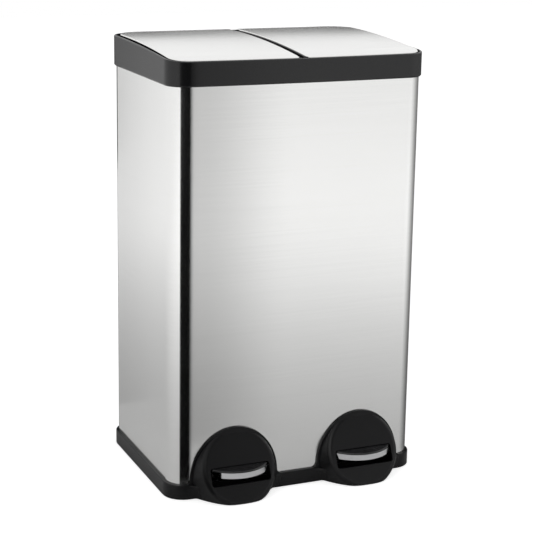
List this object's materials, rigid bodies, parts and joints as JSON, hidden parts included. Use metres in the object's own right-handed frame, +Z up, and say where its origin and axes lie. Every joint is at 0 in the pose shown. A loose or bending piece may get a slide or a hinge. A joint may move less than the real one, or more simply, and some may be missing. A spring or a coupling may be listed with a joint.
{
  "type": "double recycling bin",
  "caption": "Free-standing recycling bin with side by side compartments: steel wrap, black base and rim, crowned steel lids, each opened by its own pedal through a push rod.",
  "frame": {"origin": "on the floor, in the middle of the width and depth of the whole object", "axes": "+Z up, front with the pedals towards -Y, +X to the right when seen from the front"},
  "size_m": [0.409, 0.3329, 0.6664],
  "materials": {
    "steel_wrap": "fine matt brushed stainless steel",
    "lid_steel": "fine matt brushed stainless steel",
    "black_plastic": "satin black moulded plastic",
    "grey_plastic": "matt dark grey moulded plastic",
    "pedal_rubber": "matt black rubber",
    "rubber": "matt black rubber",
    "chrome_trim": "bright chrome",
    "zinc": "zinc-plated steel"
  },
  "bodies": {
    "housing": {"base_moulding": "black_plastic", "anti_slip_feet": "rubber", "body_shell": "steel_wrap", "inner_floor": "grey_plastic", "floor_screws": "zinc", "bracket_screws": "zinc", "guide_rivets": "zinc", "top_rim": "black_plastic", "lid_buffers_left": "rubber", "hinge_pin_left": "zinc", "pedal_bracket_left": "zinc", "pedal_axle_left": "zinc", "rod_guide_lower_left": "black_plastic", "rod_guide_upper_left": "black_plastic", "lid_buffers_right": "rubber", "hinge_pin_right": "zinc", "pedal_bracket_right": "zinc", "pedal_axle_right": "zinc", "rod_guide_lower_right": "black_plastic", "rod_guide_upper_right": "black_plastic"},
    "lid_left": {"lid_skin_left": "lid_steel", "lid_liner_left": "black_plastic"},
    "rod_left": {"push_rod_left": "zinc", "rod_cap_left": "black_plastic"},
    "pedal_left": {"pedal_lever_left": "zinc", "pedal_pad_left": "pedal_rubber", "pedal_trim_left": "chrome_trim"},
    "bucket_left": {"bucket_left": "grey_plastic"},
    "lid_right": {"lid_skin_right": "lid_steel", "lid_liner_right": "black_plastic"},
    "rod_right": {"push_rod_right": "zinc", "rod_cap_right": "black_plastic"},
    "pedal_right": {"pedal_lever_right": "zinc", "pedal_pad_right": "pedal_rubber", "pedal_trim_right": "chrome_trim"},
    "bucket_right": {"bucket_right": "grey_plastic"}
  },
  "joints": [
    {"name": "lid_hinge_left", "type": "hinge", "parent": "housing", "child": "lid_left", "pos_m": [-0.102, 0.15018, 0.66], "axis": [-1, 0, 0], "range_deg": [0, 80]},
    {"name": "rod_slide_left", "type": "slide", "parent": "housing", "child": "rod_left", "axis": [0, 0, 1], "range_m": [0, 0.0286]},
    {"name": "pedal_hinge_left", "type": "hinge", "parent": "housing", "child": "pedal_left", "pos_m": [-0.102, -0.07383, 0.038], "axis": [1, 0, 0], "range_deg": [0, 7.9]},
    {"name": "bucket_lift_left", "type": "slide", "parent": "housing", "child": "bucket_left", "axis": [0, 0, 1], "range_m": [0, 0.03]},
    {"name": "lid_hinge_right", "type": "hinge", "parent": "housing", "child": "lid_right", "pos_m": [0.102, 0.15018, 0.66], "axis": [-1, 0, 0], "range_deg": [0, 80]},
    {"name": "rod_slide_right", "type": "slide", "parent": "housing", "child": "rod_right", "axis": [0, 0, 1], "range_m": [0, 0.0286]},
    {"name": "pedal_hinge_right", "type": "hinge", "parent": "housing", "child": "pedal_right", "pos_m": [0.102, -0.07383, 0.038], "axis": [1, 0, 0], "range_deg": [0, 7.9]},
    {"name": "bucket_lift_right", "type": "slide", "parent": "housing", "child": "bucket_right", "axis": [0, 0, 1], "range_m": [0, 0.03]}
  ],
  "couplings": [
    {"joint": "rod_slide_left", "follows": "lid_hinge_left", "m_per_rad": 0.020412},
    {"joint": "pedal_hinge_left", "follows": "lid_hinge_left", "ratio": 0.098625},
    {"joint": "rod_slide_right", "follows": "lid_hinge_right", "m_per_rad": 0.020412},
    {"joint": "pedal_hinge_right", "follows": "lid_hinge_right", "ratio": 0.098625}
  ]
}
